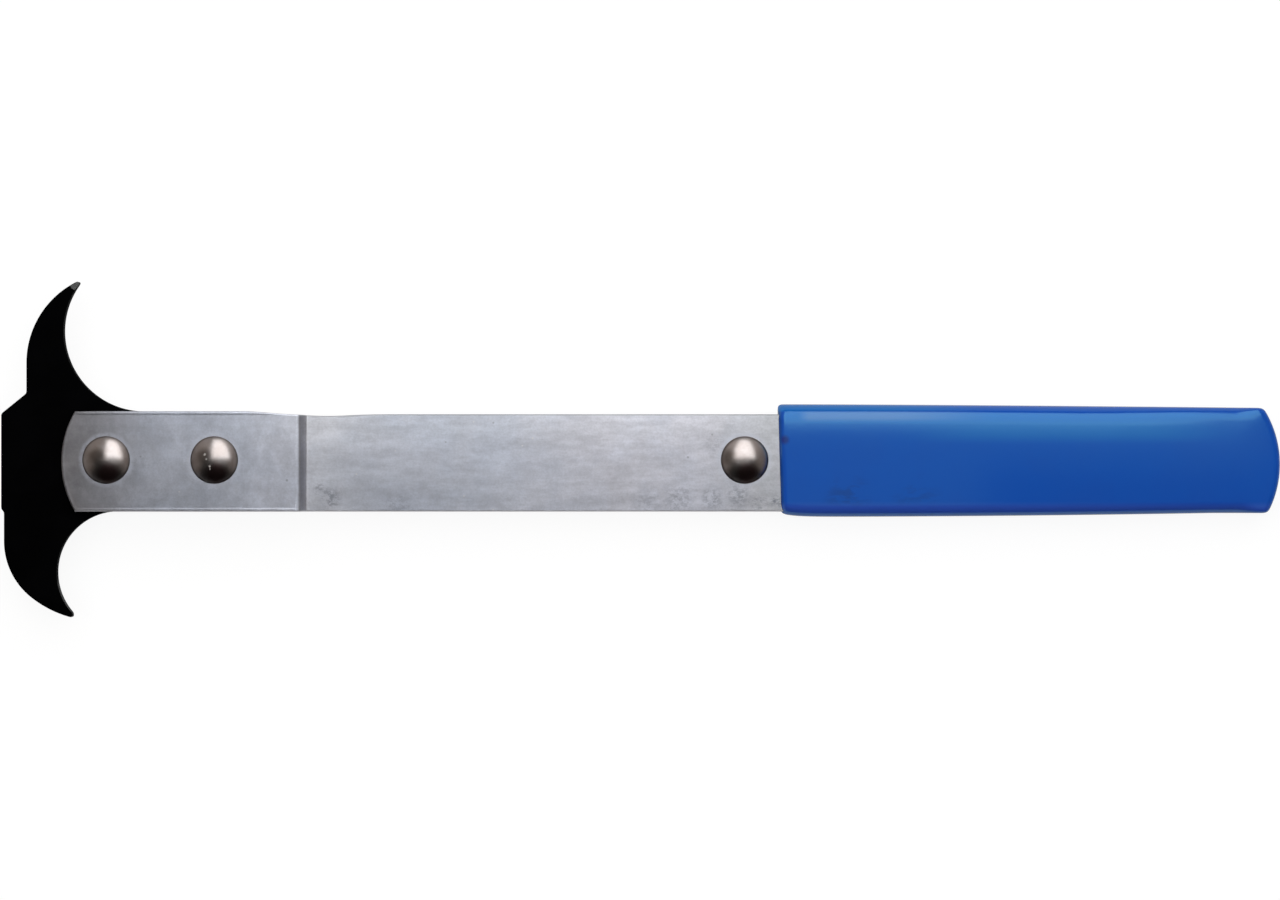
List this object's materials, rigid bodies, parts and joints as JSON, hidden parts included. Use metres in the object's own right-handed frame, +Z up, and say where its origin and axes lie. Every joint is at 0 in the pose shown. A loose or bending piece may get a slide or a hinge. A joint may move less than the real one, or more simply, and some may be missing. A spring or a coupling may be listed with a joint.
{
  "type": "double hook tool",
  "caption": "Hand tool for drawing shaft seals: a black blade with a large and a small claw, riveted between two flat steel strips with a blue dipped grip.",
  "frame": {"origin": "on the surface the tool lies on, below the middle of its bounding box", "axes": "+X along the tool from the nose to the grip, +Y towards the large claw, +Z up; the tool lies on the tang rivet's rear head and on the grip's end, and tips back by 0.74 degrees"},
  "size_m": [0.319, 0.084, 0.0165],
  "materials": {
    "blackened_steel": "blackened, dull, with the ground claw tips bare",
    "zinc_plated_steel": "satin zinc plate, faintly mottled, with light lengthwise scuffs",
    "rivet_steel": "smooth headed rivet, warm grey, fine scratches",
    "blue_vinyl": "dipped soft vinyl, satin sheen"
  },
  "bodies": {
    "root": {"hook_blade": "blackened_steel", "front_strip": "zinc_plated_steel", "rear_strip": "zinc_plated_steel", "nose_rivet": "rivet_steel", "tang_rivet": "rivet_steel", "handle_rivet": "rivet_steel", "grip": "blue_vinyl"}
  },
  "joints": []
}
